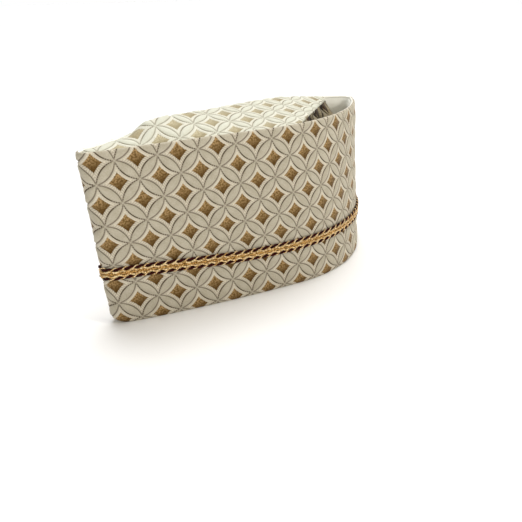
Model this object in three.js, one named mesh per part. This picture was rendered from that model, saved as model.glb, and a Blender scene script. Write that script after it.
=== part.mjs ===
// Boat-shaped brocade topi cap, in millimetres, +Z up, with its front point towards -Y.
// A tall band folds to a crease at the front and a soft point at the back. A hem strip finishes
// its foot, a gold braid with two dark edge cords hides the join, and a plain lining faces the
// inside of the band. The crown is an almond-shaped bag that opens downwards for the head. Its
// roof rises to a low ridge, and its rear tip stands clear of the band, which leaves a pocket.
import * as THREE from "three";
import { mergeVertices } from "three/addons/utils/BufferGeometryUtils.js";

// Driving dimensions
const RIM_HEIGHT = 112;
const SEAM_HEIGHT = 37;
const BAND_WALL = 2.4;
const LINING_WALL = 1.0;
const CROWN_WALL = 2.0;
const PIECE_GAP = 0.3;

// Half outlines seen from above. Each row is an arc, walked from the front point along one
// side: its length in millimetres and the degrees that it turns. One more arc, whose radius
// follows from these, brings every outline back to the centre line square to it.
const RIM_ARCS = [
  { length: 8.0, turn: 72.5 },
  { length: 111, turn: 0 },
  { length: 149, turn: 62.5 },
];
const BASE_ARCS = [
  { length: 7.1, turn: 64.5 },
  { length: 129, turn: 9 },
  { length: 132, turn: 75.5 },
];
const CROWN_ARCS = [
  { length: 8.0, turn: 72.5 },
  { length: 111, turn: 0 },
  { length: 24, turn: 10.07 },
  { length: 16, turn: 35 },
  { length: 78, turn: 0 },
];
const BASE_SETBACK = 8;
// Up to this arc length the crown follows the rim, and then it leaves it for its own tip.
const CROWN_LEAVES_RIM = 143;

// The front crease is rounded off at its foot, where the hem is turned under.
const FOOT_ROUND = 6;
const FOOT_ROUND_SPREAD = 9;

// The join of band and hem is highest at the front and falls towards the rear.
const SEAM_FALL = 6.3;
const SEAM_FALLS_OVER = 0.45;

// Levels that every wall is divided at, so that neighbouring walls bend at the same places.
const CROWN_WALL_TOP = RIM_HEIGHT - 9;
const WALL_LEVELS = [
  { level: 2.2 },
  { level: FOOT_ROUND },
  { level: SEAM_HEIGHT, onSeam: true },
  { level: 60 },
  { level: 84 },
  { level: CROWN_WALL_TOP },
];

// Lining levels, and the braid's sections
const LINING_FOOT = 1.5;
const LINING_TOP = RIM_HEIGHT - 5;
const BRAID_CORE_WIDTH = 4.2;
const BRAID_CORE_THICKNESS = 1.9;
const BRAID_EDGE_WIDTH = 1.6;
const BRAID_EDGE_THICKNESS = 1.3;

// The crown bag: its side from the hem to the shoulder, as insets from the band's outer face.
const CROWN_INSET = BAND_WALL + LINING_WALL + 3 * PIECE_GAP;
const CROWN_FOOT = 4;
// The loose rear of the bag stands up above the rim, and each row takes its share of that.
const CROWN_SHOULDER = [
  { inset: CROWN_INSET, level: CROWN_WALL_TOP, lifts: 0 },
  { inset: CROWN_INSET - 0.2, level: RIM_HEIGHT - 4.5, lifts: 0.6 },
  { inset: BAND_WALL + 2 * PIECE_GAP, level: RIM_HEIGHT - 1, lifts: 1 },
];
const TAIL_LIFT = { height: 2, startsAt: 0.55, fullAt: 0.8 };
// The ridge of the roof: distance behind the front point, and height above the rim.
const RIDGE = [
  { behind: 4, rise: 0.2 },
  { behind: 20, rise: 0.8 },
  { behind: 36, rise: 3.0 },
  { behind: 48, rise: 9.6 },
  { behind: 58, rise: 10.4 },
  { behind: 75, rise: 9.8 },
  { behind: 95, rise: 9.0 },
  { behind: 165, rise: 8.6 },
  { behind: 190, rise: 6.2 },
  { behind: 208, rise: 4.1 },
  { behind: 222, rise: 2.4 },
];
// The roof runs almost straight from its edges up to its ridge: a higher power is fuller.
const ROOF_FULLNESS = 1.15;
const ROOF_SHARES = [0.3, 0.6, 0.85, 1];
// Dents in the loose rear sides of the bag: their place round the cap, half width and depth.
const TAIL_DENTS = [
  { station: 0.6, reach: 0.07, depth: 2.5 },
  { station: 0.74, reach: 0.07, depth: 4 },
  { station: 0.88, reach: 0.06, depth: 3 },
];

// Stations round half the cap, as shares of its arc length, closest where it bends most.
const STATION_SPANS = [
  { from: 0, to: 0.03, steps: 5 },
  { from: 0.03, to: 0.1, steps: 3 },
  { from: 0.1, to: 0.48, steps: 9 },
  { from: 0.48, to: 0.6, steps: 4 },
  { from: 0.6, to: 0.94, steps: 8 },
  { from: 0.94, to: 1, steps: 6 },
];

const lerp = THREE.MathUtils.lerp;
const radians = THREE.MathUtils.degToRad;

// Outline arithmetic

// An outline as a list of arcs with their start points and headings, and its whole length.
function traceOutline(rows) {
  const arcs = [];
  let along = 0;
  let across = 0;
  let heading = Math.PI / 2;
  let begins = 0;
  const add = (length, turn) => {
    const arc = { along, across, heading, begins, length, turn };
    arcs.push(arc);
    const end = pointOnArc(arc, length);
    ({ along, across, heading } = end);
    begins += length;
  };
  for (const row of rows) add(row.length, radians(row.turn));
  const lastTurn = heading + Math.PI / 2;
  add((across / Math.cos(heading)) * lastTurn, lastTurn);
  return { arcs, length: begins };
}

function pointOnArc(arc, distance) {
  const turned = (arc.turn * distance) / arc.length;
  const heading = arc.heading - turned;
  if (Math.abs(arc.turn) < 1e-9) {
    return {
      along: arc.along + distance * Math.cos(heading),
      across: arc.across + distance * Math.sin(heading),
      heading,
    };
  }
  const radius = arc.length / arc.turn;
  return {
    along: arc.along + radius * (Math.sin(arc.heading) - Math.sin(heading)),
    across: arc.across + radius * (Math.cos(heading) - Math.cos(arc.heading)),
    heading,
  };
}

function pointOnOutline(outline, distance) {
  const arc = outline.arcs.findLast((a) => a.begins <= distance) ?? outline.arcs[0];
  return pointOnArc(arc, Math.min(distance - arc.begins, arc.length));
}

const rim = traceOutline(RIM_ARCS);
const base = traceOutline(BASE_ARCS);
const crownTop = traceOutline(CROWN_ARCS);

const stations = [0];
for (const { from, to, steps } of STATION_SPANS) {
  for (let i = 1; i <= steps; i++) stations.push(lerp(from, to, i / steps));
}

// The level of a wall's row at a station. Rows on the seam fall with it.
function levelAt({ level, onSeam }, station) {
  if (!onSeam) return level;
  return level - SEAM_FALL * THREE.MathUtils.smoothstep(station, 0, SEAM_FALLS_OVER);
}

// How far the foot of the front crease is drawn back at a level.
function footSetback(station, level) {
  if (level >= FOOT_ROUND) return 0;
  const rise = FOOT_ROUND - level;
  const depth = FOOT_ROUND - Math.sqrt(FOOT_ROUND ** 2 - rise ** 2);
  const away = (station * base.length) / FOOT_ROUND_SPREAD;
  return depth * Math.exp(-away * away);
}

// A point of a wall that is ruled from the base outline to an upper outline.
function ruledPoint(station, level, inset, upper) {
  const foot = pointOnOutline(base, station * base.length);
  const share = level / RIM_HEIGHT;
  const normal = new THREE.Vector2(
    lerp(-Math.sin(foot.heading), -Math.sin(upper.heading), share),
    lerp(Math.cos(foot.heading), Math.cos(upper.heading), share),
  ).normalize();
  const along = lerp(foot.along + BASE_SETBACK, upper.along, share) + footSetback(station, level);
  const across = lerp(foot.across, upper.across, share);
  return new THREE.Vector3(across - inset * normal.y, along - inset * normal.x, level);
}

function bandPoint(station, level, inset) {
  return ruledPoint(station, level, inset, pointOnOutline(rim, station * rim.length));
}

// How far the loose rear sides of the crown sink in, deepest half way up.
function tailDent(station, level) {
  const fade = Math.sin((Math.PI * level) / RIM_HEIGHT);
  const depths = TAIL_DENTS.map(({ station: middle, reach, depth }) => {
    const away = Math.min(1, Math.abs(station - middle) / reach);
    return depth * Math.cos((away * Math.PI) / 2) ** 2;
  });
  return fade * depths.reduce((sum, depth) => sum + depth, 0);
}

// The crown follows the rim at first. The rest of its outline is shared out in proportion.
function crownPoint(station, level, inset) {
  const distance = station * rim.length;
  const beyond = Math.max(0, distance - CROWN_LEAVES_RIM);
  const ratio = (crownTop.length - CROWN_LEAVES_RIM) / (rim.length - CROWN_LEAVES_RIM);
  const upperDistance = Math.min(distance, CROWN_LEAVES_RIM) + beyond * ratio;
  const sunk = inset + tailDent(station, level);
  return ruledPoint(station, level, sunk, pointOnOutline(crownTop, upperDistance));
}

function ridgeRise(behind) {
  const next = RIDGE.findIndex((row) => row.behind >= behind);
  if (next === -1) return RIDGE[RIDGE.length - 1].rise;
  if (next === 0) return RIDGE[0].rise;
  const [a, b] = [RIDGE[next - 1], RIDGE[next]];
  return lerp(a.rise, b.rise, (behind - a.behind) / (b.behind - a.behind));
}

// How far the shoulder of the bag's loose rear stands up.
function tailLift(station) {
  return TAIL_LIFT.height * THREE.MathUtils.smoothstep(station, TAIL_LIFT.startsAt, TAIL_LIFT.fullAt);
}

// Meshes from rows of points

// One row of points round the whole cap, from a function of the station for the +X half.
function ringOf(pointAt) {
  const half = stations.map(pointAt);
  const other = half
    .slice(1, -1)
    .reverse()
    .map((p) => new THREE.Vector3(-p.x, p.y, p.z));
  half[0].x = 0;
  half[half.length - 1].x = 0;
  return [...half, ...other];
}

// A closed skin through rings of equal count. A closed profile joins its last ring to its first.
function skin(rings, closedProfile) {
  const count = rings[0].length;
  const positions = rings.flat().flatMap((p) => [p.x, p.y, p.z]);
  const index = [];
  const strips = closedProfile ? rings.length : rings.length - 1;
  for (let r = 0; r < strips; r++) {
    for (let k = 0; k < count; k++) {
      const a = r * count + k;
      const b = r * count + ((k + 1) % count);
      const c = ((r + 1) % rings.length) * count + ((k + 1) % count);
      const d = ((r + 1) % rings.length) * count + k;
      index.push(a, b, c, a, c, d);
    }
  }
  const geometry = new THREE.BufferGeometry();
  geometry.setAttribute("position", new THREE.Float32BufferAttribute(positions, 3));
  geometry.setIndex(index);
  const merged = mergeVertices(geometry, 1e-4);
  merged.computeVertexNormals();
  return merged;
}

// A wall round the cap whose section is a closed list of insets and levels.
function wallOf(section) {
  return skin(
    section.map((row) => ringOf((u) => bandPoint(u, levelAt(row, u), row.inset))),
    true,
  );
}

// Sections, each listed up the outer face, over the top and down the inner face

// An oval cord that lies along the seam, above it or below it.
function ovalSection(centreInset, aboveSeam, width, thickness, sides) {
  return Array.from({ length: sides }, (_, i) => {
    const angle = (2 * Math.PI * i) / sides;
    return {
      inset: centreInset - (thickness / 2) * Math.cos(angle),
      level: SEAM_HEIGHT + aboveSeam + (width / 2) * Math.sin(angle),
      onSeam: true,
    };
  });
}

// One face of a wall, upwards from one level to another.
function faceUp(inset, from, to) {
  const clear = PIECE_GAP;
  const between = WALL_LEVELS.filter(
    ({ level }) => level > from.level + clear && level < to.level - clear,
  );
  return [from, ...between, to].map((row) => ({ ...row, inset }));
}

function bandSection() {
  const foot = { level: SEAM_HEIGHT + PIECE_GAP / 2, onSeam: true };
  const half = BAND_WALL / 2;
  const rollFoot = { level: RIM_HEIGHT - half };
  const roll = [45, 90, 135].map((degrees) => ({
    inset: half - half * Math.cos(radians(degrees)),
    level: rollFoot.level + half * Math.sin(radians(degrees)),
  }));
  return [
    ...faceUp(0, foot, rollFoot),
    ...roll,
    ...faceUp(BAND_WALL, foot, rollFoot).reverse(),
  ];
}

function hemSection() {
  const top = { level: SEAM_HEIGHT - PIECE_GAP / 2, onSeam: true };
  const turnedUnder = 0.7;
  const foot = { level: turnedUnder };
  return [
    { inset: turnedUnder, level: 0 },
    ...faceUp(0, foot, top),
    ...faceUp(BAND_WALL, foot, top).reverse(),
    { inset: BAND_WALL - turnedUnder, level: 0 },
  ];
}

function liningSection() {
  const outer = BAND_WALL + PIECE_GAP;
  const foot = { level: LINING_FOOT };
  const top = { level: LINING_TOP };
  return [
    ...faceUp(outer, foot, top),
    ...faceUp(outer + LINING_WALL, foot, top).reverse(),
  ];
}

function braidCoreSection() {
  const centre = -(PIECE_GAP + BRAID_CORE_THICKNESS / 2);
  return ovalSection(centre, 0, BRAID_CORE_WIDTH, BRAID_CORE_THICKNESS, 8);
}

function braidEdgeSection(side) {
  const reach = (BRAID_CORE_WIDTH + BRAID_EDGE_WIDTH) / 2 + PIECE_GAP;
  const centre = -(PIECE_GAP + BRAID_EDGE_THICKNESS / 2);
  return ovalSection(centre, side * reach, BRAID_EDGE_WIDTH, BRAID_EDGE_THICKNESS, 6);
}

// The crown bag

// Rings of one face of the crown, from its hem to its ridge. The inner face lies one wall inside.
function crownFace(inward) {
  const [wallTop, ...curve] = CROWN_SHOULDER;
  const wall = faceUp(wallTop.inset, { level: CROWN_FOOT }, wallTop).map((row) =>
    ringOf((u) => crownPoint(u, levelAt(row, u), row.inset + inward)),
  );
  const onCurve = ({ inset, level, lifts }, u) =>
    crownPoint(u, level + lifts * tailLift(u) - inward, inset + inward);
  const shoulder = curve[curve.length - 1];
  const roof = ROOF_SHARES.map((share) =>
    ringOf((u) => {
      const edge = onCurve(shoulder, u);
      const ridgeTop = RIM_HEIGHT + ridgeRise(edge.y) - inward;
      const arch = 1 - (1 - share) ** ROOF_FULLNESS;
      return new THREE.Vector3(lerp(edge.x, 0, share), edge.y, lerp(edge.z, ridgeTop, arch));
    }),
  );
  return [...wall, ...curve.map((row) => ringOf((u) => onCurve(row, u))), ...roof];
}

function crownShell() {
  return skin([...crownFace(CROWN_WALL).reverse(), ...crownFace(0)], false);
}

// Materials and assembly

const ivoryBrocade = new THREE.MeshStandardMaterial({ color: 0xd8d0bd, roughness: 0.7, metalness: 0 });
const ivoryLining = new THREE.MeshStandardMaterial({ color: 0xdcd7c6, roughness: 0.75, metalness: 0 });
const goldThread = new THREE.MeshStandardMaterial({ color: 0xc79a4b, roughness: 0.35, metalness: 0.7 });
const maroonCord = new THREE.MeshStandardMaterial({ color: 0x4a1418, roughness: 0.6, metalness: 0 });

const cap = new THREE.Group();

function addPiece(name, geometry, material) {
  const mesh = new THREE.Mesh(geometry, material);
  mesh.name = name;
  cap.add(mesh);
}

addPiece("side_band", wallOf(bandSection()), ivoryBrocade);
addPiece("hem_band", wallOf(hemSection()), ivoryBrocade);
addPiece("band_lining", wallOf(liningSection()), ivoryLining);
addPiece("crown", crownShell(), ivoryBrocade);
addPiece("braid_core", wallOf(braidCoreSection()), goldThread);
addPiece("braid_edge_upper", wallOf(braidEdgeSection(1)), maroonCord);
addPiece("braid_edge_lower", wallOf(braidEdgeSection(-1)), maroonCord);

// The origin is the middle of the cap's footprint, on the surface that it stands on.
const extent = new THREE.Box3().setFromObject(cap);
cap.children.forEach((piece) => {
  piece.position.y = -(extent.min.y + extent.max.y) / 2;
});

export default cap;
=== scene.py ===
"""The boat-shaped brocade topi cap: its cloth, lining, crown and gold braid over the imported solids.

Sizes in the classes are millimetres, and meshes are made in metres. Distances along the cloth are
measured from the front crease: positive on the +X side, negative on the other.
"""
import logging
import math
from dataclasses import dataclass
from enum import Enum
from typing import Callable

import bmesh
import bpy
import numpy as np
from mathutils import Matrix, Vector


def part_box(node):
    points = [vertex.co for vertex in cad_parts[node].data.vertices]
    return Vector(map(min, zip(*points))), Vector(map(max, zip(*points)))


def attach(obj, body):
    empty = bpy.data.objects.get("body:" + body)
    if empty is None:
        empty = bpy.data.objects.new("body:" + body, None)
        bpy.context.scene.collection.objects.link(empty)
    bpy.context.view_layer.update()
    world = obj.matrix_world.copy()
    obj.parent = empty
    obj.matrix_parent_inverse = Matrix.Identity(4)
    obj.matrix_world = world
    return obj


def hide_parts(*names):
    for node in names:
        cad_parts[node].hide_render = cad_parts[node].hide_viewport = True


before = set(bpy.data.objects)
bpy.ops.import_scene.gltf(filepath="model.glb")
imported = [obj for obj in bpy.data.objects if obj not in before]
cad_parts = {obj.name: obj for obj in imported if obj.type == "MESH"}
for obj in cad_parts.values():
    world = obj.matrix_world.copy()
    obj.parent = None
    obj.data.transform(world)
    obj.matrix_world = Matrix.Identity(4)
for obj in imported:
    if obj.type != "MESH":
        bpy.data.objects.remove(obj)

LOG = logging.getLogger("topi")
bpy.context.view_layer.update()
MM = 0.001
BODY = "root"
WEAVE_GIRTH = 550.0
TURN = 2.0 * math.pi
TINY = 1e-9
Array = np.ndarray
Span = tuple[float, float]
Point = tuple[float, float, float]
Colour = tuple[float, float, float]


def smooth(value: Array, low: float, high: float) -> Array:
    """A smooth step from 0 at low to 1 at high."""
    t = np.clip((np.asarray(value, float) - low) / (high - low), 0.0, 1.0)
    return t * t * (3.0 - 2.0 * t)


# Form of the cap


@dataclass(frozen=True)
class Arc:
    """One arc of an outline: its start, heading, distance from the front, length and turn."""

    along: float
    across: float
    heading: float
    begins: float
    length: float
    turn: float

    def at(self, distance: Array) -> tuple[Array, Array, Array]:
        """Distances along and across the cap, and headings, at distances from the arc's start."""
        heading = self.heading - self.turn * distance / self.length
        if abs(self.turn) < TINY:
            along = self.along + distance * math.cos(self.heading)
            across = self.across + distance * math.sin(self.heading)
            return along, across, heading
        radius = self.length / self.turn
        along = self.along + radius * (math.sin(self.heading) - np.sin(heading))
        across = self.across + radius * (np.cos(heading) - math.cos(self.heading))
        return along, across, heading


class Outline:
    """Half an outline of the cap seen from above, as a chain of arcs that closes on the middle."""

    def __init__(self, rows: list[Span]) -> None:
        """Traces the arcs.

        Args:
            rows: The length and the turn in degrees of each arc, from the front.
        """
        self.arcs: list[Arc] = []
        along, across, heading, begins = 0.0, 0.0, math.pi / 2, 0.0
        steps = [(length, math.radians(turn)) for length, turn in rows]
        for number in range(len(steps) + 1):
            if number == len(steps):
                # The last arc ends on the middle line, square to it
                turn = heading + math.pi / 2
                steps.append((across / math.cos(heading) * turn, turn))
            length, turn = steps[number]
            arc = Arc(along, across, heading, begins, length, turn)
            self.arcs.append(arc)
            along, across, heading = (float(x) for x in arc.at(np.array(length)))
            begins += length
        self.length = begins

    def at(self, distance: Array) -> Array:
        """Rows of distance along, distance across and heading, at distances from the front point."""
        distance = np.clip(distance, 0.0, self.length)
        found = np.zeros((3,) + distance.shape)
        for arc in self.arcs:
            begun = distance >= arc.begins - TINY
            values = arc.at(np.minimum(distance - arc.begins, arc.length))
            for row, value in enumerate(values):
                found[row] = np.where(begun, value, found[row])
        return found


@dataclass(frozen=True)
class CapForm:
    """The shape that every cloth of the cap is laid on."""

    front_y: float
    rim_height: float = 112.0
    wall: float = 2.4
    base_setback: float = 8.0
    foot_round: float = 6.0
    foot_spread: float = 9.0
    seam_front: float = 37.0
    seam_fall: float = 6.3
    seam_falls_over: float = 0.45
    crown_leaves: float = 143.0
    crown_inset: float = 4.3
    crown_wall_top: float = 103.0
    shoulder_inset: float = 3.0
    shoulder_level: float = 111.0
    tail_lift: float = 2.0
    tail_lift_from: float = 0.55
    tail_lift_to: float = 0.8
    roof_fullness: float = 1.15
    rim: Outline = Outline([(8.0, 72.5), (111.0, 0.0), (149.0, 62.5)])
    base: Outline = Outline([(7.1, 64.5), (129.0, 9.0), (132.0, 75.5)])
    crown: Outline = Outline([(8.0, 72.5), (111.0, 0.0), (24.0, 10.07), (16.0, 35.0), (78.0, 0.0)])
    ridge_behind: tuple[float, ...] = (4, 20, 36, 48, 58, 75, 95, 165, 190, 208, 222)
    ridge_rise: tuple[float, ...] = (0.2, 0.8, 3.2, 9.8, 10.7, 10.4, 9.8, 9.2, 6.8, 4.4, 2.4)
    ridge_reach: int = 240
    ridge_ease: int = 5
    roof_points: int = 400
    roof_least: float = 0.05
    tail_dents: tuple[Point, ...] = ((0.6, 0.07, 2.5), (0.74, 0.07, 4.0), (0.88, 0.06, 3.0))

    def seam(self, run: Array) -> Array:
        """Heights of the join between band and hem, which falls towards the rear."""
        station = np.abs(run) / self.rim.length
        return self.seam_front - self.seam_fall * smooth(station, 0.0, self.seam_falls_over)

    def _ruled(self, station: Array, level: Array, inset: Array, upper: Array) -> Array:
        """Points of a wall that is ruled from the base outline to an upper one.

        Args:
            station: Shares of the half girth.
            level: Heights.
            inset: Distances inwards from the ruled face.
            upper: The upper outline's points there.

        Returns:
            Points as rows of across, along and up, on the +X half.
        """
        foot = self.base.at(station * self.base.length)
        share = level / self.rim_height
        out_along = -np.sin(foot[2]) * (1 - share) - np.sin(upper[2]) * share
        out_across = np.cos(foot[2]) * (1 - share) + np.cos(upper[2]) * share
        inset = inset / np.hypot(out_along, out_across)
        rise = np.clip(self.foot_round - level, 0.0, self.foot_round)
        tuck = self.foot_round - np.sqrt(self.foot_round**2 - rise**2)
        tuck = tuck * np.exp(-((station * self.base.length / self.foot_spread) ** 2))
        along = (foot[0] + self.base_setback) * (1 - share) + upper[0] * share + tuck
        across = foot[1] * (1 - share) + upper[1] * share
        return np.stack([across - inset * out_across, along - inset * out_along, level], -1)

    def _placed(self, points: Array, side: Array) -> Array:
        """Moves half-cap points to their side and to the cap's own frame."""
        return np.stack([points[..., 0] * side, points[..., 1] + self.front_y, points[..., 2]], -1)

    def band(self, run: Array, level: Array, inset: Array) -> Array:
        """Points of the band, at signed distances round the rim, heights and distances inwards."""
        run, level, inset = np.broadcast_arrays(np.asarray(run, float), level, inset)
        distance = np.abs(run)
        points = self._ruled(distance / self.rim.length, level, inset, self.rim.at(distance))
        return self._placed(points, np.where(run < 0, -1.0, 1.0))

    def _crown_station(self, distance: Array) -> Array:
        """Shares of the half girth for distances round the crown's shoulder."""
        ratio = (self.crown.length - self.crown_leaves) / (self.rim.length - self.crown_leaves)
        beyond = np.maximum(distance - self.crown_leaves, 0.0) / ratio
        return (np.minimum(distance, self.crown_leaves) + beyond) / self.rim.length

    def crown_side(self, run: Array, level: Array, inset: Array) -> Array:
        """Points of the crown bag's side.

        Args:
            run: Signed distances round the crown's shoulder from the front.
            level: Heights before the loose rear is lifted.
            inset: Distances inwards from the face that the crown is ruled on.

        Returns:
            Points in the cap's frame.
        """
        run, level, inset = np.broadcast_arrays(np.asarray(run, float), level, inset)
        distance = np.abs(run)
        station = self._crown_station(distance)
        fade = np.sin(np.pi * level / self.rim_height)
        sunk = np.zeros_like(level, float)
        for middle, reach, depth in self.tail_dents:
            away = np.minimum(1.0, np.abs(station - middle) / reach)
            sunk = sunk + depth * np.cos(away * np.pi / 2) ** 2
        lift = self.tail_lift * smooth(station, self.tail_lift_from, self.tail_lift_to)
        shoulder = self.shoulder_level - self.crown_wall_top
        lift = lift * np.clip((level - self.crown_wall_top) / shoulder, 0.0, 1.0)
        points = self._ruled(station, level + lift, inset + fade * sunk, self.crown.at(distance))
        return self._placed(points, np.where(run < 0, -1.0, 1.0))

    def shoulder(self, count: int) -> Array:
        """The crown's shoulder on the +X half, as points of distance along, across and up."""
        run = np.linspace(0.0, self.crown.length, count)
        points = self.crown_side(run, self.shoulder_level, self.shoulder_inset)
        return np.stack([points[:, 1] - self.front_y, points[:, 0], points[:, 2]], -1)

    def ridge(self, along: Array) -> Array:
        """Heights of the roof's middle line, with its corners eased."""
        steps = np.arange(self.ridge_reach, dtype=float)
        rise = np.interp(steps, self.ridge_behind, self.ridge_rise)
        kernel = np.hanning(2 * self.ridge_ease + 1)
        padded = np.pad(rise, self.ridge_ease, mode="edge")
        eased = np.convolve(padded, kernel / kernel.sum(), mode="valid")
        return self.rim_height + np.interp(along, steps, eased)

    def roof_height(self, along: Array, across: Array) -> Array:
        """Heights of the crown's roof, at distances behind the front and from the middle line."""
        edge = self.shoulder(self.roof_points)
        half = np.interp(along, edge[:, 0], edge[:, 1], left=0.0, right=0.0)
        half = np.maximum(half, self.roof_least)
        level = np.interp(along, edge[:, 0], edge[:, 2])
        arch = 1.0 - np.clip(np.abs(across) / half, 0.0, 1.0) ** self.roof_fullness
        return level + (self.ridge(along) - level) * arch


# The brocade as it is woven, flat


@dataclass(frozen=True)
class Lattice:
    """The brocade's repeat: overlapping circles that make petals round a gold diamond."""

    pitch: float = 25.5
    rays: int = 32
    gold_reach: float = 3.8
    hollow_sides: float = 0.7
    groove_at: float = -0.8
    petal_rise: float = 0.85
    border_rise: float = 0.5
    gold_rise: float = 0.6
    gold_rings: tuple[float, ...] = (0.55, 0.86, 1.0)
    border_rings: tuple[float, ...] = (0.22, 0.55, 0.84, 1.0)
    petal_rings: tuple[float, ...] = (0.14, 0.46, 1.0)
    tip_angle: float = math.pi / 4.0
    petal_round: float = 2.4
    petal_full: float = 0.75
    border_edge: Span = (-0.1, 0.5)
    border_slope: float = 0.7
    halvings: int = 40

    @property
    def side(self) -> float:
        """Distance between neighbouring diamonds, which is a petal's length."""
        return self.pitch / math.sqrt(2.0)

    @property
    def circle(self) -> float:
        """Radius of the overlapping circles."""
        return self.pitch / 2.0

    def measures(self, run: Array, rise: Array) -> tuple[Array, Array]:
        """Distances that the pattern is drawn by.

        Args:
            run: Distances along the cloth from a diamond's middle.
            rise: Distances up the cloth from it.

        Returns:
            Distance outside the nearest petal's edge, and the diamond's own distance.
        """
        one = (run + rise) / self.pitch
        two = (run - rise) / self.pitch
        one = np.abs(one - np.round(one)) * self.side
        two = np.abs(two - np.round(two)) * self.side
        far = np.maximum(one, two)
        near = np.minimum(one, two)
        reach = np.hypot(self.side - far, near)
        bend = np.arctan2(near, self.side - far) / self.tip_angle
        outside = reach - self.circle + self.groove_at * bend**2
        return outside, self.hollow_sides * (self.side - reach) + (1.0 - self.hollow_sides) * far

    def relief(self, run: Array, rise: Array) -> Array:
        """How far the woven surface stands up: padded petals, corded borders, domed diamonds."""
        outside, diamond = self.measures(run, rise)
        half = self.circle - self.side / 2.0
        across = np.clip((self.groove_at - outside) / (half + self.groove_at), 0.0, 1.0)
        petal = self.petal_rise * (1.0 - (1.0 - across) ** self.petal_round) ** self.petal_full
        border = self.border_rise * smooth(diamond - self.gold_reach, *self.border_edge)
        border = border * smooth(outside - self.groove_at, 0.0, self.border_slope)
        gold = self.gold_rise * np.clip(1.0 - (diamond / self.gold_reach) ** 2, 0.0, 1.0)
        return petal + border + gold

    def _radius_where(self, measure: Callable[[Array], Array], target: float, limit: Array) -> Array:
        """The distance along each ray at which a rising measure meets a target.

        Args:
            measure: The measure at given distances along the rays.
            target: The value to meet.
            limit: The longest distance along each ray.

        Returns:
            Distances, held at the limit where the target isn't met.
        """
        low, high = np.zeros_like(limit), limit.copy()
        for _ in range(self.halvings):
            middle = 0.5 * (low + high)
            below = measure(middle) < target
            low = np.where(below, middle, low)
            high = np.where(below, high, middle)
        return high

    def unit(self) -> tuple[Array, list[tuple[int, ...]]]:
        """One repeat, flat, with its edges along the diamond, the border and the petals.

        Returns:
            Points round a diamond's middle, and faces.
        """
        angle = np.arange(self.rays) * TURN / self.rays
        ray = np.stack([np.cos(angle), np.sin(angle)], -1)
        far = np.maximum(np.abs(ray[:, 0] + ray[:, 1]), np.abs(ray[:, 0] - ray[:, 1]))
        edge = self.side / 2.0 / (far / math.sqrt(2.0))
        inner = edge * (1.0 - TINY)

        def measured(radius: Array) -> tuple[Array, Array]:
            """The pattern's two distances at these radii."""
            return self.measures(radius * ray[:, 0], radius * ray[:, 1])

        gold = self._radius_where(lambda radius: measured(radius)[1], self.gold_reach, inner)
        groove = self._radius_where(lambda radius: -measured(radius)[0], -self.groove_at, inner)
        radii = [gold * share for share in self.gold_rings]
        radii += [gold + (groove - gold) * share for share in self.border_rings]
        radii += [groove + (edge - groove) * share for share in self.petal_rings]
        rings = [ray * radius[:, None] for radius in radii]
        points = np.concatenate([np.zeros((1, 2)), *rings])
        faces: list[tuple[int, ...]] = []
        for k in range(self.rays):
            follow = (k + 1) % self.rays
            faces.append((0, 1 + k, 1 + follow))
            for ring in range(len(rings) - 1):
                a, b = 1 + ring * self.rays, 1 + (ring + 1) * self.rays
                faces.append((a + k, b + k, b + follow, a + follow))
        return points, faces


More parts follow.
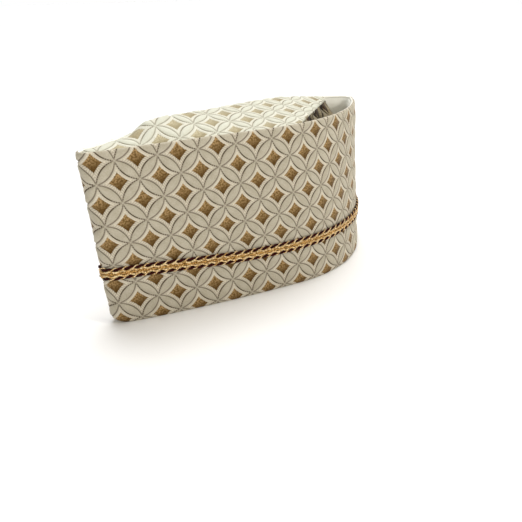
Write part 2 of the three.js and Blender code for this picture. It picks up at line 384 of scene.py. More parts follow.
class FlatCloth:
    """A flat piece of brocade that is cut to shape and then laid on the cap."""

    MERGE = 0.02
    THIN = 0.01
    SNAP = 0.004

    def __init__(self, lattice: Lattice, origin: Span, low: Array, high: Array) -> None:
        """Weaves the piece.

        Args:
            lattice: The brocade's repeat.
            origin: The middle of one diamond.
            low: Lowest run and rise that the piece has to cover.
            high: Highest run and rise.
        """
        self.lattice = lattice
        self.origin = np.array(origin)
        points, faces = lattice.unit()
        half = lattice.pitch / 2.0
        first = np.floor((low - self.origin) / half).astype(int) - 1
        last = np.ceil((high - self.origin) / half).astype(int) + 1
        places = [
            (i, j)
            for i in range(first[0], last[0] + 1)
            for j in range(first[1], last[1] + 1)
            if (i + j) % 2 == 0
        ]
        flat = np.concatenate([points + self.origin + np.array(place) * half for place in places])
        woven = bpy.data.meshes.new("woven")
        firsts = range(0, len(flat), len(points))
        every = [tuple(n + begin for n in face) for begin in firsts for face in faces]
        woven.from_pydata([(p[0], p[1], 0.0) for p in flat], [], every)
        self.bm = bmesh.new()
        self.bm.from_mesh(woven)
        bpy.data.meshes.remove(woven)
        bmesh.ops.remove_doubles(self.bm, verts=self.bm.verts, dist=self.MERGE)
        bmesh.ops.dissolve_degenerate(self.bm, dist=self.THIN, edges=self.bm.edges)
        self.trim((low[0], 0.0), (-1.0, 0.0))
        self.trim((high[0], 0.0), (1.0, 0.0))
        self.trim((0.0, low[1]), (0.0, -1.0))
        self.trim((0.0, high[1]), (0.0, 1.0))

    def _cut(self, point: Span, normal: Span, clear: bool) -> None:
        """Cuts along a line, and clears what lies on the normal's side if asked."""
        bmesh.ops.bisect_plane(
            self.bm,
            geom=[*self.bm.verts, *self.bm.edges, *self.bm.faces],
            dist=self.SNAP,
            plane_co=(*point, 0.0),
            plane_no=(*normal, 0.0),
            clear_outer=clear,
        )

    def trim(self, point: Span, normal: Span) -> None:
        """Cuts off what lies on the normal's side of a line through a point."""
        self._cut(point, normal, True)

    def score(self, rises: list[float]) -> None:
        """Scores the cloth at these heights, where it will bend."""
        for rise in rises:
            self._cut((0.0, rise), (0.0, 1.0), False)

    def edge_along(self, edge: Callable[[Array], Array], keep_above: bool) -> None:
        """Ends the cloth at a curved line.

        Args:
            edge: Heights of the line at given runs.
            keep_above: Whether the cloth above the line is kept, or the cloth below it.
        """
        self.bm.verts.index_update()
        flat = np.array([v.co[:2] for v in self.bm.verts])
        line = edge(flat[:, 0])
        beyond = flat[:, 1] < line if keep_above else flat[:, 1] > line
        lost = [f for f in self.bm.faces if all(beyond[v.index] for v in f.verts)]
        for vert in self.bm.verts:
            if beyond[vert.index]:
                vert.co.y = line[vert.index]
        bmesh.ops.delete(self.bm, geom=lost, context="FACES")

    def laid(self, lay: Callable[[Array, Array, Array], Array]) -> "ClothMesh":
        """Lays the cloth on the cap.

        Args:
            lay: Gives points in the cap's frame for runs, rises and relief heights.

        Returns:
            The shaped cloth.
        """
        self.bm.verts.index_update()
        flat = np.array([v.co[:2] for v in self.bm.verts])
        faces = [tuple(v.index for v in f.verts) for f in self.bm.faces]
        self.bm.free()
        from_diamond = flat - self.origin
        relief = self.lattice.relief(from_diamond[:, 0], from_diamond[:, 1])
        points = lay(flat[:, 0], flat[:, 1], relief)
        return ClothMesh(points, faces, from_diamond / self.lattice.pitch)


@dataclass
class ClothMesh:
    """A shaped sheet: points in millimetres, faces, each point's place in the weave and its painted crease
    shade.
    """

    points: Array
    faces: list[tuple[int, ...]]
    weave: Array
    # Share of painted shade in the valleys of folds
    crease: Array | None = None

    def mirrored(self) -> "ClothMesh":
        """The same sheet on the other side of the cap."""
        flipped = self.points * np.array([-1.0, 1.0, 1.0])
        return ClothMesh(flipped, [tuple(reversed(f)) for f in self.faces], self.weave, self.crease)

    def joined(self, other: "ClothMesh") -> "ClothMesh":
        """This sheet and another as one."""
        step = len(self.points)
        faces = self.faces + [tuple(n + step for n in f) for f in other.faces]
        return ClothMesh(
            np.concatenate([self.points, other.points]),
            faces,
            np.concatenate([self.weave, other.weave]),
            np.concatenate([self.crease, other.crease]),
        )

    def to_object(self, name: str, material: bpy.types.Material, weld: float = 0.0) -> bpy.types.Object:
        """Makes the piece.

        Args:
            name: The piece's name.
            material: Its finish.
            weld: The distance within which points are merged.

        Returns:
            The new object, smooth shaded, with its weave in a UV map.
        """
        mesh = bpy.data.meshes.new(name)
        mesh.from_pydata((self.points * MM).tolist(), [], self.faces)
        layer = mesh.uv_layers.new(name="weave")
        corners = np.zeros(len(mesh.loops), np.int32)
        mesh.loops.foreach_get("vertex_index", corners)
        layer.data.foreach_set("uv", self.weave[corners].astype(np.float32).ravel())
        # Stores the painted crease shade as a point attribute
        if self.crease is not None:
            shade = mesh.attributes.new("crease", "FLOAT", "POINT")
            shade.data.foreach_set("value", self.crease.astype(np.float32))
        mesh.polygons.foreach_set("use_smooth", np.ones(len(mesh.polygons), bool))
        mesh.materials.append(material)
        mesh.validate()
        if weld > 0.0:
            bm = bmesh.new()
            bm.from_mesh(mesh)
            bmesh.ops.remove_doubles(bm, verts=bm.verts, dist=weld * MM)
            bmesh.ops.dissolve_degenerate(bm, dist=weld * MM, edges=bm.edges)
            bm.to_mesh(mesh)
            bm.free()
        made = bpy.data.objects.new(name, mesh)
        bpy.context.scene.collection.objects.link(made)
        return made


def plain_grid(rows: list[Array], closed: bool) -> ClothMesh:
    """A plain sheet through rings of points, with its weave map in millimetres.

    Args:
        rows: Rings of equal count, each round the whole cap.
        closed: Whether the last ring joins the first.

    Returns:
        The sheet.
    """
    count = len(rows[0])
    points = np.concatenate(rows)
    faces = []
    for ring in range(len(rows) if closed else len(rows) - 1):
        one, two = ring * count, (ring + 1) % len(rows) * count
        for k in range(count):
            follow = (k + 1) % count
            faces.append((one + k, one + follow, two + follow, two + k))
    run = np.tile(np.arange(count) * WEAVE_GIRTH / count, len(rows))
    return ClothMesh(points, faces, np.stack([run, points[:, 2]], -1))


def thicken(piece: bpy.types.Object, thickness: float) -> None:
    """Gives a sheet its thickness, inwards, in its own mesh."""
    made = piece.modifiers.new("thickness", "SOLIDIFY")
    made.thickness = thickness * MM
    made.offset = -1.0
    made.use_rim = True
    settle(piece)


def settle(piece: bpy.types.Object) -> None:
    """Applies a piece's modifiers to its own mesh and removes them."""
    graph = bpy.context.evaluated_depsgraph_get()
    shaped = piece.evaluated_get(graph)
    final = bpy.data.meshes.new_from_object(shaped, preserve_all_data_layers=True, depsgraph=graph)
    final.name = piece.name
    old = piece.data
    piece.modifiers.clear()
    piece.data = final
    bpy.data.meshes.remove(old)


def join(name: str, pieces: list[bpy.types.Object]) -> bpy.types.Object:
    """Joins pieces into the first one, under a new name."""
    with bpy.context.temp_override(active_object=pieces[0], selected_editable_objects=pieces):
        bpy.ops.object.join()
    pieces[0].name = name
    pieces[0].data.name = name
    return pieces[0]


def install(piece: bpy.types.Object, slot: str, *nodes: str) -> None:
    """Rides a finished piece on the cap, and hides the solids it replaces."""
    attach(piece, BODY)
    if nodes:
        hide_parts(*nodes)
    LOG.info("%s: %d faces", piece.name, len(piece.data.polygons))


# Node graphs


def math_method(name: str, swapped: bool = False) -> Callable[..., "Sock"]:
    """Makes a method that adds one Math node.

    Args:
        name: The node's operation.
        swapped: Whether the method's own output is the second value.

    Returns:
        The method.
    """

    def add(self: "Sock", *others: "Sock | float") -> "Sock":
        """Adds the node."""
        return self.graph.math(name, *((*others, self) if swapped else (self, *others)))

    return add


class Sock:
    """A node's output that takes part in arithmetic."""

    __add__ = __radd__ = math_method("ADD")
    __sub__ = math_method("SUBTRACT")
    __rsub__ = math_method("SUBTRACT", swapped=True)
    __mul__ = __rmul__ = math_method("MULTIPLY")
    __truediv__ = math_method("DIVIDE")
    __rtruediv__ = math_method("DIVIDE", swapped=True)
    __abs__ = math_method("ABSOLUTE")
    sine = math_method("SINE")
    root = math_method("SQRT")
    rounded = math_method("ROUND")
    least = math_method("MINIMUM")
    most = math_method("MAXIMUM")

    def __init__(self, graph: "Graph", socket: bpy.types.NodeSocket) -> None:
        """Wraps an output socket of a graph."""
        self.graph = graph
        self.socket = socket

    def on(self, base: float, gain: float) -> "Sock":
        """This value times a gain, on a base."""
        return base + gain * self

    def step(self, low: float, high: float) -> "Sock":
        """A smooth step from 0 at low to 1 at high, which may fall."""
        return self.graph.out(
            "ShaderNodeMapRange",
            {"interpolation_type": "SMOOTHSTEP"},
            {"Value": self, "From Min": low, "From Max": high},
        )


Value = Sock | float


class Graph:
    """Builds a node tree from expressions."""

    MIX_SHARE = 0
    MIX_ONE = 6
    MIX_TWO = 7
    MIX_COLOUR = 2

    def __init__(self, tree: bpy.types.NodeTree) -> None:
        """Starts on an empty tree."""
        self.tree = tree
        tree.nodes.clear()

    def node(self, kind: str, settings: dict | None = None, sockets: dict | None = None) -> bpy.types.Node:
        """Adds a node.

        Args:
            kind: The node's type.
            settings: Its settings.
            sockets: Values or outputs for its inputs, by name or number.

        Returns:
            The node.
        """
        made = self.tree.nodes.new(kind)
        for name, value in (settings or {}).items():
            setattr(made, name, value)
        for name, value in (sockets or {}).items():
            if isinstance(value, Sock):
                self.tree.links.new(value.socket, made.inputs[name])
            else:
                made.inputs[name].default_value = value
        return made

    def out(
        self, kind: str, settings: dict | None = None, sockets: dict | None = None, output: str | int = 0
    ) -> Sock:
        """Adds a node and returns one of its outputs."""
        return Sock(self, self.node(kind, settings, sockets).outputs[output])

    def math(self, operation: str, *values: Value) -> Sock:
        """Adds a Math node on numbers."""
        return self.out("ShaderNodeMath", {"operation": operation}, dict(enumerate(values)))

    def vector(self, operation: str, *values: Sock | tuple, output: str | int = 0) -> Sock:
        """Adds a Vector Math node."""
        return self.out("ShaderNodeVectorMath", {"operation": operation}, dict(enumerate(values)), output)

    def scaled(self, vector: Sock, factor: Value) -> Sock:
        """A vector times a number."""
        return self.out("ShaderNodeVectorMath", {"operation": "SCALE"}, {0: vector, "Scale": factor})

    def parts(self, vector: Sock) -> list[Sock]:
        """The three numbers of a vector."""
        made = self.node("ShaderNodeSeparateXYZ", None, {0: vector})
        return [Sock(self, output) for output in made.outputs]

    def weave(self) -> Sock:
        """Each point's place in the weave."""
        return self.out("ShaderNodeUVMap", {"uv_map": "weave"})

    def place(self, output: str = "Object") -> Sock:
        """Each point's place in its object, or another texture coordinate."""
        return self.out("ShaderNodeTexCoord", None, None, output)

    def noise(self, place: Sock, scale: float, detail: float) -> Sock:
        """Adds a noise texture."""
        return self.out("ShaderNodeTexNoise", None, {"Vector": place, "Scale": scale, "Detail": detail})

    def bump(self, height: Sock, strength: float, distance: float) -> Sock:
        """A normal bumped by a height, over a distance in metres."""
        sockets = {"Height": height, "Strength": strength, "Distance": distance}
        return self.out("ShaderNodeBump", None, sockets)

    def blend(self, share: Value, one: Sock | tuple, two: Sock | tuple) -> Sock:
        """Mixes two colours, from one at 0 to two at 1."""
        one, two = self._colour(one), self._colour(two)
        sockets = {self.MIX_SHARE: share, self.MIX_ONE: one, self.MIX_TWO: two}
        return self.out("ShaderNodeMix", {"data_type": "RGBA"}, sockets, self.MIX_COLOUR)

    @staticmethod
    def _colour(value: Sock | tuple) -> Sock | tuple:
        """A colour with its alpha."""
        return value if isinstance(value, Sock) else (*value, 1.0)


class Finish:
    """A procedural material with one Principled shader."""

    def __init__(self, name: str) -> None:
        """Starts an empty material."""
        self.material = bpy.data.materials.new(name)
        self.material.use_nodes = True
        self.graph = Graph(self.material.node_tree)

    def surface(self, sockets: dict) -> bpy.types.Material:
        """Ends the material with these values and outputs on its shader."""
        shader = self.graph.out("ShaderNodeBsdfPrincipled", None, sockets)
        self.graph.node("ShaderNodeOutputMaterial", None, {"Surface": shader})
        return self.material


@dataclass(frozen=True)
class Drawing:
    """What the brocade is drawn by: distances in millimetres on the flat cloth, and its threads."""

    place: Sock
    warp: Sock
    weft: Sock
    upward: Sock
    across: Sock
    arc: Sock
    outside: Sock
    diamond: Sock


@dataclass(frozen=True)
class BrocadeFinish:
    """Ivory satin petals and gold diamonds, drawn on the cloth's own weave map, with painted sheen,
    highlights and shade.
    """

    lattice: Lattice
    name: str = "ivory_brocade"
    petal: Colour = (0.505, 0.462, 0.365)
    petal_warm: Colour = (0.415, 0.372, 0.282)
    border: Colour = (0.54, 0.49, 0.395)
    # Painted highlight on the border's cord next to the gold
    border_painted_highlight: Colour = (0.66, 0.605, 0.485)
    # Colour of the border's slanted thread ribs, which also carries painted shade on each diamond's lower
    # half
    border_ribs_and_shade: Colour = (0.36, 0.31, 0.23)
    # Colour of the sunk line: dark stitching with painted shade
    groove: Colour = (0.05, 0.028, 0.008)
    # Ends of the gold's colour: a painted sheen, lighter towards each diamond's top and left, broken by
    # random flecks
    gold_fleck_and_painted_light: Colour = (0.43, 0.28, 0.122)
    gold_fleck_and_painted_shade: Colour = (0.08, 0.039, 0.005)
    # Painted shade colour in the valleys of folds
    crease: Colour = (0.012, 0.006, 0.002)
    gold_metal: float = 0.3
    shine: float = 0.12
    stitch: float = 1.5
    slant: float = 1.3
    slant_lean: float = 2.2
    thread: float = 0.8
    mottle_scale: float = 1.15
    fleck_scale: float = 0.85
    cloud_scale: float = 0.16
    right_over: Span = (-0.8, 0.8)
    below_over: Span = (1.0, -1.0)
    gold_edge: float = 0.2
    feather_weft: float = 0.16
    feather_mottle: float = 0.9
    feather_below: float = 0.2
    petal_over: Span = (0.05, -0.3)
    line_over: Span = (0.6, 0.12)
    # Painted shade: how dark the line is on each diamond's left, and how much darker on its right
    line_shade_right: Span = (0.68, 0.3)
    tip_over: Span = (9.8, 8.7)
    dot_over: Span = (-0.5, 0.7)
    dotted_over: Span = (2.0, 5.0)
    dotted_right: Span = (0.2, 0.4)
    ridge_over: Span = (2.2, 0.5)
    shaded_below: Span = (0.25, 0.5)
    sheen_over: Span = (-5.2, 5.0)
    sheen_lean: float = 0.4
    fleck_over: Span = (0.34, 0.66)
    fleck_depth: Span = (0.22, 0.8)
    cloud_over: Span = (0.35, 0.65)
    mottle_over: Span = (0.36, 0.64)
    cloud_share: float = 0.45
    gold_height: float = 0.35
    thread_height: float = 0.05
    line_depth: float = 0.4
    slant_height: float = 0.12
    bump_strength: float = 0.6
    bump_reach: float = 0.0006
    rough: float = 0.62
    gold_smooths: float = 0.14
    petal_smooths: float = 0.1
    warp_roughens: float = 0.06

    def _drawing(self, g: Graph) -> Drawing:
        """Measures the pattern from the weave map, as the lattice does for the mesh."""
        cut = self.lattice
        weave = g.weave()
        run, rise, _ = g.parts(weave)
        one, two = run + rise, run - rise
        one, two = one - one.rounded(), two - two.rounded()
        upward, across = (one - two) * cut.circle, (one + two) * cut.circle
        one, two = abs(one) * cut.side, abs(two) * cut.side
        far, near = one.most(two), one.least(two)
        aside = cut.side - far
        reach = (aside * aside + near * near).root()
        angle = g.math("ARCTAN2", near, aside)
        bend = angle / cut.tip_angle
        threads = TURN * cut.pitch / self.thread
        return Drawing(
            place=g.scaled(weave, cut.pitch),
            warp=(run * threads).sine(),
            weft=(rise * threads).sine(),
            upward=upward,
            across=across,
            arc=angle * cut.circle,
            outside=reach - cut.circle + cut.groove_at * bend * bend,
            diamond=cut.hollow_sides * (cut.side - reach) + (1.0 - cut.hollow_sides) * far,
        )

    def _line(self, drawn: Drawing) -> Sock:
        """The sunk line round each petal: dark stitching with painted shade, dotted by its stitches and
        darkest on its right, where the shade is painted heavier.
        """
        rightward = drawn.across.step(*self.right_over)
        dots = (drawn.arc * (TURN / self.stitch)).sine().step(*self.dot_over)
        dotted = drawn.arc.step(*self.dotted_over) * rightward.on(*self.dotted_right)
        line = abs(drawn.outside - self.lattice.groove_at).step(*self.line_over)
        line = line * (1.0 - dotted * (1.0 - dots)) * drawn.arc.step(*self.tip_over)
        return line * rightward.on(*self.line_shade_right)

    def build(self) -> bpy.types.Material:
        """Makes the material."""
        finish = Finish(self.name)
        g = finish.graph
        cut = self.lattice
        drawn = self._drawing(g)
        mottle = g.noise(drawn.place, self.mottle_scale, detail=3.0)
        cloud = g.noise(drawn.place, self.cloud_scale, detail=2.0).step(*self.cloud_over)
        fleck = g.noise(drawn.place, self.fleck_scale, detail=1.0).step(*self.fleck_over)
        below = drawn.upward.step(*self.below_over)
        slanted = drawn.arc * (TURN / self.slant) + drawn.outside * self.slant_lean
        slanted = slanted.sine().on(0.5, 0.5)
        feathered = drawn.diamond + self.feather_weft * drawn.weft + self.feather_below * below
        feathered = feathered + self.feather_mottle * (mottle - 0.5) - cut.gold_reach
        gold = feathered.step(self.gold_edge, -self.gold_edge)
        petal = (drawn.outside - cut.groove_at).step(*self.petal_over)
        line = self._line(drawn)
        # Painted sheen and shade on the gold: lighter towards each diamond's top and left, darker towards
        # its foot and right, broken by random flecks
        sheen = (drawn.upward - self.sheen_lean * drawn.across).step(*self.sheen_over)
        metal = g.blend(sheen * fleck.on(*self.fleck_depth), self.gold_fleck_and_painted_shade, self.gold_fleck_and_painted_light)
        grain = cloud * self.cloud_share + mottle.step(*self.mottle_over) * (1.0 - self.cloud_share)
        satin = g.blend(grain, self.petal, self.petal_warm)
        # Painted highlight: the border is lighter close to the gold, fading out over about 2 mm
        ridge = (drawn.diamond - cut.gold_reach).step(*self.ridge_over)
        edging = g.blend(ridge, self.border, self.border_painted_highlight)
        # Slanted thread ribs on the border, with painted shade that is heavier on each diamond's lower
        # half
        edging = g.blend(slanted * below.on(*self.shaded_below), edging, self.border_ribs_and_shade)
        # The sunk line's colour: dark stitching with painted shade, heavier on the right
        cloth = g.blend(line, g.blend(petal, edging, satin), self.groove)
        # Painted shade in the valleys of folds, read from the point attribute crease
        crease_shade_share = g.out("ShaderNodeAttribute", {"attribute_name": "crease"}, None, "Fac")
        height = gold * mottle * self.gold_height + drawn.warp * drawn.weft * self.thread_height
        height = height - self.line_depth * line + self.slant_height * slanted * (1.0 - petal)
        rough = self.rough - self.gold_smooths * gold - self.petal_smooths * petal
        return finish.surface(
            {
                "Base Color": g.blend(crease_shade_share, g.blend(gold, cloth, metal), self.crease),
                "Metallic": gold * self.gold_metal,
                "Roughness": rough + self.warp_roughens * drawn.warp,
                "Normal": g.bump(height, self.bump_strength, self.bump_reach),
                "Specular IOR Level": self.shine,
            }
        )


@dataclass(frozen=True)
class LiningFinish:
    """Plain ivory weave."""

    light: Colour = (0.93, 0.925, 0.85)
    shade: Colour = (0.88, 0.87, 0.78)
    thread: float = 0.9
    cloud_scale: float = 0.12
    cloud_over: Span = (0.3, 0.7)
    cloud_share: float = 0.8
    thread_share: float = 0.1
    rough: Span = (0.8, 0.05)
    bump_strength: float = 0.3
    bump_reach: float = 0.0003

    def build(self) -> bpy.types.Material:
        """Makes the material."""
        finish = Finish("ivory_lining")
        g = finish.graph
        weave = g.weave()
        run, rise, _ = g.parts(weave)
        warp = (run * (TURN / self.thread)).sine()
        threads = warp * (rise * (TURN / self.thread)).sine()
        cloud = g.noise(weave, self.cloud_scale, detail=3.0).step(*self.cloud_over)
        share = cloud * self.cloud_share + threads.on(self.thread_share, self.thread_share)
        return finish.surface(
            {
                "Base Color": g.blend(share, self.light, self.shade),
                "Roughness": warp.on(*self.rough),
                "Normal": g.bump(threads, self.bump_strength, self.bump_reach),
            }
        )


@dataclass(frozen=True)
class ThreadFinish:
    """A twisted thread: its two colours, how metallic it is, and its twist."""

    name: str
    light: Colour
    dark: Colour
    metallic: float
    rough: float
    shine: float = 0.5
    grain: float = 900.0
    wraps: float = 1170.0
    wander: float = 1.5
    fibre_over: Span = (0.38, 0.62)
    fibre_roughens: float = 0.15
    bump_strength: float = 0.5
    bump_reach: float = 0.00025

    def build(self) -> bpy.types.Material:
        """Makes the material."""
        finish = Finish(self.name)
        g = finish.graph
        place = g.place()
        fibre = g.noise(place, self.grain, detail=3.0)
        wraps = g.out(
            "ShaderNodeTexWave",
            {"wave_type": "BANDS", "bands_direction": "DIAGONAL"},
            {"Vector": place, "Scale": self.wraps, "Distortion": self.wander},
        )
        share = fibre.step(*self.fibre_over)
        return finish.surface(
            {
                "Base Color": g.blend(share, self.dark, self.light),
                "Metallic": self.metallic,
                "Roughness": share.on(self.rough, self.fibre_roughens),
                "Specular IOR Level": self.shine,
                "Normal": g.bump(wraps + fibre, self.bump_strength, self.bump_reach),
            }
        )


@dataclass(frozen=True)
class FloorFinish:
    """A plain pale studio floor."""

    colour: Colour = (0.92, 0.92, 0.92)
    cloud_scale: float = 3.0
    rough: Span = (0.85, 0.1)

    def build(self) -> bpy.types.Material:
        """Makes the material."""
        finish = Finish("pale_floor")
        g = finish.graph
        cloud = g.noise(g.place(), self.cloud_scale, detail=2.0)
        return finish.surface(
            {
                "Base Color": (*self.colour, 1.0),
                "Roughness": cloud.on(*self.rough),
                "Specular IOR Level": 0.0,
            }
        )


# Sub-assemblies


@dataclass
class Brocade:
    """What the brocade pieces share."""

    form: CapForm
    lattice: Lattice
    finish: bpy.types.Material
    thickness: float = 0.5


@dataclass
class BandCloth(Brocade):
    """What the two strips of the band share: they meet under the braid and close in a rear seam."""

    roll_steps: int = 6
    join_gap: float = 0.15
    flat_under_braid: float = 4.2
    braid_ease: float = 2.5
    pressed: float = 0.15
    seam_depth: float = 0.7
    seam_width: float = 1.6
    slow_waver: float = 0.30
    slow_lengths: Span = (23.0, 31.0)
    slow_starts: Span = (0.8, 0.4)
    quick_waver: float = 0.16
    quick_lengths: Span = (9.7, 14.0)

    def waver(self, run: Array, rise: Array) -> Array:
        """The slight unevenness of a stiffened cloth wall."""
        (along, up), (first, second) = self.slow_lengths, self.slow_starts
        slow = self.slow_waver * np.sin(run / along + first) * np.sin(rise / up + second)
        along, up = self.quick_lengths
        return slow + self.quick_waver * np.sin(run / along + rise / up)

    def scores(self, start: float, end: float) -> list[float]:
        """Even heights on the flat cloth at which a roll is scored."""
        return [start + (end - start) * k / self.roll_steps for k in range(self.roll_steps + 1)]

    def rear_seam(self, run: Array) -> Array:
        """How far the rear seam draws the cloth in."""
        from_seam = (self.form.rim.length - np.abs(run)) / self.seam_width
        return self.seam_depth * np.exp(-(from_seam**2))

    def over_roll(self, run: Array, rise: Array, stand: Array, bend: float, way: float) -> Array:
        """Points of cloth that lies on the wall and turns inwards over a roll.

        Args:
            run: Distances along the cloth.
            rise: Distances up the cloth.
            stand: How far the cloth stands off the wall.
            bend: The height at which the roll begins.
            way: 1 for a roll at the top of the wall, -1 for one at its foot.

        Returns:
            Points in the cap's frame.
        """
        roll = self.form.wall / 2.0
        past = (rise - bend) * way
        angle = np.clip(past / roll, 0.0, math.pi)
        climb = (roll + stand) * np.sin(angle) - np.maximum(past - math.pi * roll, 0.0)
        level = bend + way * (np.minimum(past, 0.0) + climb)
        return self.form.band(run, level, roll - (roll + stand) * np.cos(angle))

    def stand(self, run: Array, rise: Array, relief: Array, keep: Array, slack: Array) -> Array:
        """How far the cloth stands off the wall.

        Args:
            run: Distances along the cloth.
            rise: Distances up the cloth.
            relief: The woven relief there.
            keep: The share of the relief that is kept.
            slack: The share of the wall's unevenness.

        Returns:
            Distances outwards.
        """
        from_join = np.abs(rise - self.form.seam(run)) - self.flat_under_braid
        clear = smooth(from_join, 0.0, self.braid_ease)
        relief = relief * (self.pressed + (1.0 - self.pressed) * clear)
        return relief * keep + self.waver(run, rise) * clear * slack


@dataclass
class SideBand(BandCloth):
    """The tall band, from the braid to its rolled rim."""

    plain: bpy.types.Material | None = None
    first_diamond: Span = (7.75, 105.7)
    turned_in: float = 0.6
    relief_ends: Span = (-1.0, 2.4)
    slack_ends: Span = (-8.0, 0.0)

    def build(self) -> None:
        """Makes and installs the band."""
        form = self.form
        roll = form.wall / 2.0
        bend = form.rim_height - roll
        over = bend + math.pi * roll
        half = form.rim.length
        low = np.array([-half, form.seam_front - form.seam_fall])
        cloth = FlatCloth(self.lattice, self.first_diamond, low, np.array([half, over + self.turned_in]))
        cloth.edge_along(lambda run: form.seam(run) + self.join_gap, True)
        cloth.score(self.scores(bend, over))

        def lay(run: Array, rise: Array, relief: Array) -> Array:
            """Lays the cloth up the wall, over the rim and down inside."""
            keep = 1.0 - smooth(rise - bend, *self.relief_ends)
            slack = 1.0 - smooth(rise - bend, *self.slack_ends)
            stand = self.stand(run, rise, relief, keep, slack) - self.rear_seam(run)
            return self.over_roll(run, rise, stand, bend, 1.0)

        piece = cloth.laid(lay).to_object("side_band_cloth", self.finish)
        self._bind_rim(piece, (bend + over) / 2.0)
        thicken(piece, self.thickness)
        install(piece, "ivory_brocade", "side_band")

    def _bind_rim(self, piece: bpy.types.Object, top: float) -> None:
        """Finishes the rim in plain cloth, from a height on the flat cloth inwards."""
        piece.data.materials.append(self.plain)
        place = piece.data.uv_layers["weave"].data
        for face in piece.data.polygons:
            rises = [place[corner].uv[1] * self.lattice.pitch for corner in face.loop_indices]
            if min(rises) + self.first_diamond[1] > top - FlatCloth.THIN:
                face.material_index = 1


@dataclass
class HemBand(BandCloth):
    """The strip below the braid, with its foot turned under."""

    first_diamond: Span = (19.0, 15.5)
    turned_in: float = 5.0
    foot_scores: tuple[float, ...] = (2.2, 4.0, 6.0)
    relief_starts: Span = (0.4, 2.6)
    slack_starts: Span = (1.0, 8.0)

    def build(self) -> None:
        """Makes and installs the hem."""
        form = self.form
        roll = form.wall / 2.0
        under = roll - math.pi * roll
        half = form.rim.length
        low = np.array([-half, under - self.turned_in])
        cloth = FlatCloth(self.lattice, self.first_diamond, low, np.array([half, form.seam_front]))
        cloth.edge_along(lambda run: form.seam(run) - self.join_gap, False)
        cloth.score([*self.scores(roll, under), *self.foot_scores])

        def lay(run: Array, rise: Array, relief: Array) -> Array:
            """Lays the cloth down the wall, under the foot and up inside."""
            keep = smooth(rise, *self.relief_starts)
            slack = smooth(rise, *self.slack_starts)
            stand = self.stand(run, rise, relief, keep, slack) - self.rear_seam(run) * keep
            return self.over_roll(run, rise, stand, roll, -1.0)

        piece = cloth.laid(lay).to_object("hem_band_cloth", self.finish)
        thicken(piece, self.thickness)
        for point in piece.data.vertices:
            point.co.z = max(point.co.z, 0.0)
        install(piece, "ivory_brocade", "hem_band")


@dataclass
class BandLining:
    """The plain cloth on the inside of the band."""

    form: CapForm
    finish: bpy.types.Material
    foot: float = 1.5
    top: float = 107.0
    facing_top: float = 110.4
    facing_inset: float = 2.5
    facing_thickness: float = 0.3
    facing_step: Span = (0.4, 0.6)
    gap: float = 0.3
    thickness: float = 1.0
    stations: int = 300
    levels: int = 26

    def build(self) -> None:
        """Makes and installs the lining, with the thin facing that it ends in under the rim."""
        half = self.form.rim.length
        run = np.linspace(-half, half, self.stations, endpoint=False)
        outer = self.form.wall + self.gap
        back = self.facing_inset + self.facing_thickness
        heights = np.linspace(self.foot, self.top, self.levels)
        section = [(level, outer) for level in heights]
        front_step, back_step = self.facing_step
        section += [(self.top + front_step, self.facing_inset), (self.facing_top, self.facing_inset)]
        section += [(self.facing_top, back), (self.top + back_step, back)]
        section += [(level, outer + self.thickness) for level in heights[::-1]]
        rows = [self.form.band(run, level, inset) for level, inset in section]
        piece = plain_grid(rows, True).to_object("band_lining_cloth", self.finish)
        install(piece, "ivory_lining", "band_lining")


